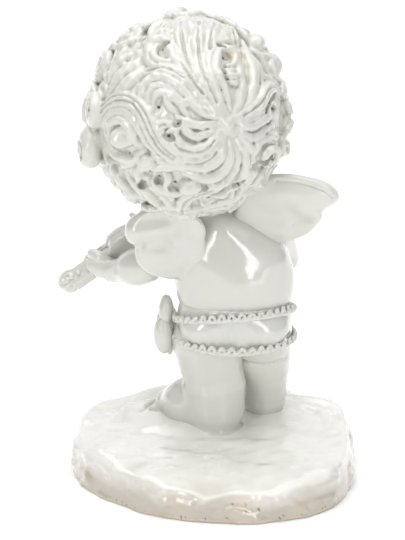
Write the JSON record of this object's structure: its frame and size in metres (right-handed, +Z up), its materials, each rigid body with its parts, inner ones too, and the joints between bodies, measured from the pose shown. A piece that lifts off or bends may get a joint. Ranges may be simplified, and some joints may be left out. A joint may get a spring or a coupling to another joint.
{
  "type": "cherub figurine",
  "caption": "Glossy white winged cherub standing on a rough rock base and playing a violin, with curly hair and a braided loincloth.",
  "frame": {"origin": "on the underside of the felt pad, under the middle of the base", "axes": "+Z up; the cherub looks towards -Y, and its left side is +X"},
  "size_m": [0.1243, 0.1195, 0.2007],
  "materials": {
    "glaze": "gloss",
    "felt": "matt"
  },
  "bodies": {
    "root": {"base_rock": "glaze", "bow_frog": "glaze", "bow_hair": "glaze", "bow_stick": "glaze", "felt_pad": "felt", "hair_cap": "glaze", "hair_curl_1": "glaze", "hair_curl_10": "glaze", "hair_curl_11": "glaze", "hair_curl_12": "glaze", "hair_curl_13": "glaze", "hair_curl_14": "glaze", "hair_curl_15": "glaze", "hair_curl_16": "glaze", "hair_curl_17": "glaze", "hair_curl_18": "glaze", "hair_curl_19": "glaze", "hair_curl_2": "glaze", "hair_curl_20": "glaze", "hair_curl_21": "glaze", "hair_curl_3": "glaze", "hair_curl_4": "glaze", "hair_curl_5": "glaze", "hair_curl_6": "glaze", "hair_curl_7": "glaze", "hair_curl_8": "glaze", "hair_curl_9": "glaze", "head": "glaze", "hem_braid": "glaze", "hip_bow_back_loop": "glaze", "hip_bow_front_loop": "glaze", "hip_bow_knot": "glaze", "hip_bow_long_tail": "glaze", "hip_bow_short_tail": "glaze", "left_forearm": "glaze", "left_hand": "glaze", "left_leg": "glaze", "left_upper_arm": "glaze", "left_wing": "glaze", "loincloth": "glaze", "right_forearm": "glaze", "right_hand": "glaze", "right_leg": "glaze", "right_upper_arm": "glaze", "right_wing": "glaze", "torso": "glaze", "violin_body": "glaze", "violin_bridge": "glaze", "violin_fingerboard": "glaze", "violin_neck": "glaze", "violin_peg_1": "glaze", "violin_peg_2": "glaze", "violin_peg_3": "glaze", "violin_peg_4": "glaze", "violin_scroll": "glaze", "violin_tailpiece": "glaze", "waist_braid": "glaze"}
  },
  "joints": []
}
